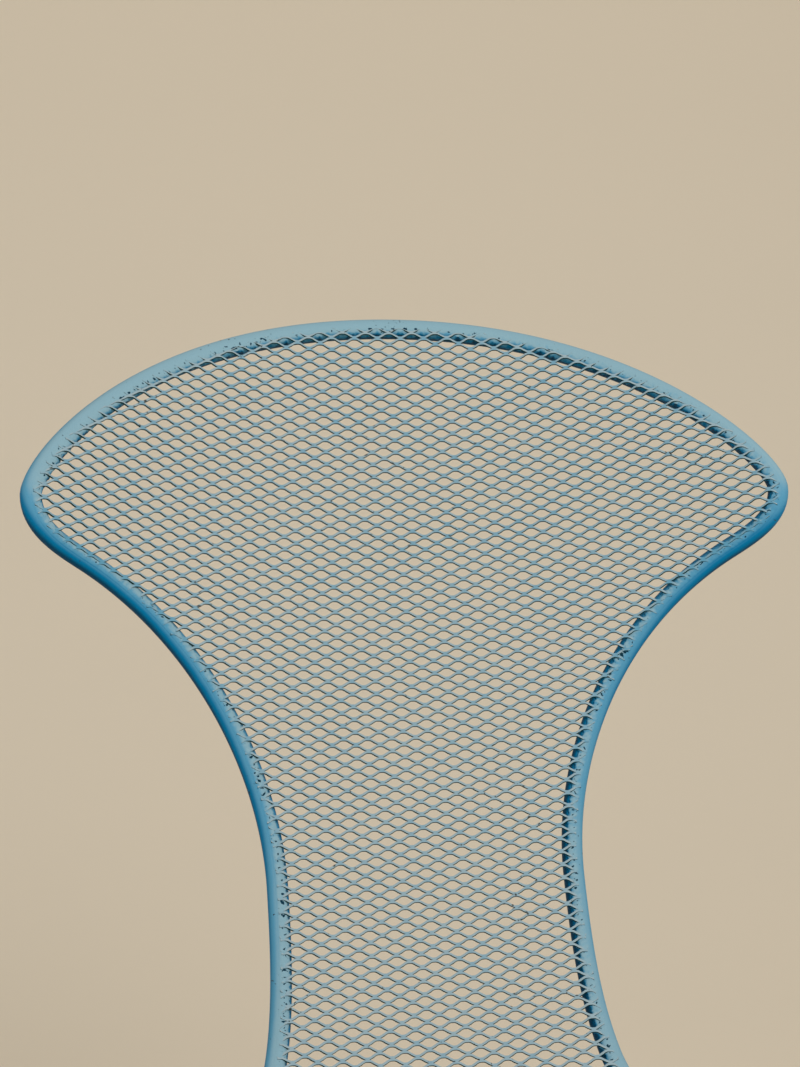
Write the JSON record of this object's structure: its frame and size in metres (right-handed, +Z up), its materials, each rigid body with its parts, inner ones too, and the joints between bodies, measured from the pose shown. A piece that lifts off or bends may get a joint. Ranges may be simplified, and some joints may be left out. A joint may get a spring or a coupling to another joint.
{
  "type": "expanded metal garden chair",
  "caption": "Wing-backed garden chair with a waisted shell of painted expanded metal on a bent tube rim, carried on splayed tube leg frames.",
  "frame": {"origin": "floor level, under the middle of the chair's width and depth", "axes": "+Z up, the sitter faces -Y, X across the chair, which is symmetric about x = 0"},
  "size_m": [0.606, 0.7293, 0.9756],
  "materials": {
    "mesh_paint": "chalked blue paint, satin",
    "rim_paint": "blue paint, satin, chalked on top",
    "frame_paint": "blue paint, satin, lightly worn",
    "glide": "dull grey-black rubber"
  },
  "bodies": {
    "root": {"mesh_sheet": "mesh_paint", "rim_tube": "rim_paint", "front_cross_rail": "frame_paint", "rear_cross_rail": "frame_paint", "left_leg_frame": "frame_paint", "right_leg_frame": "frame_paint", "front_left_glide": "glide", "front_right_glide": "glide", "rear_left_glide": "glide", "rear_right_glide": "glide"}
  },
  "joints": []
}
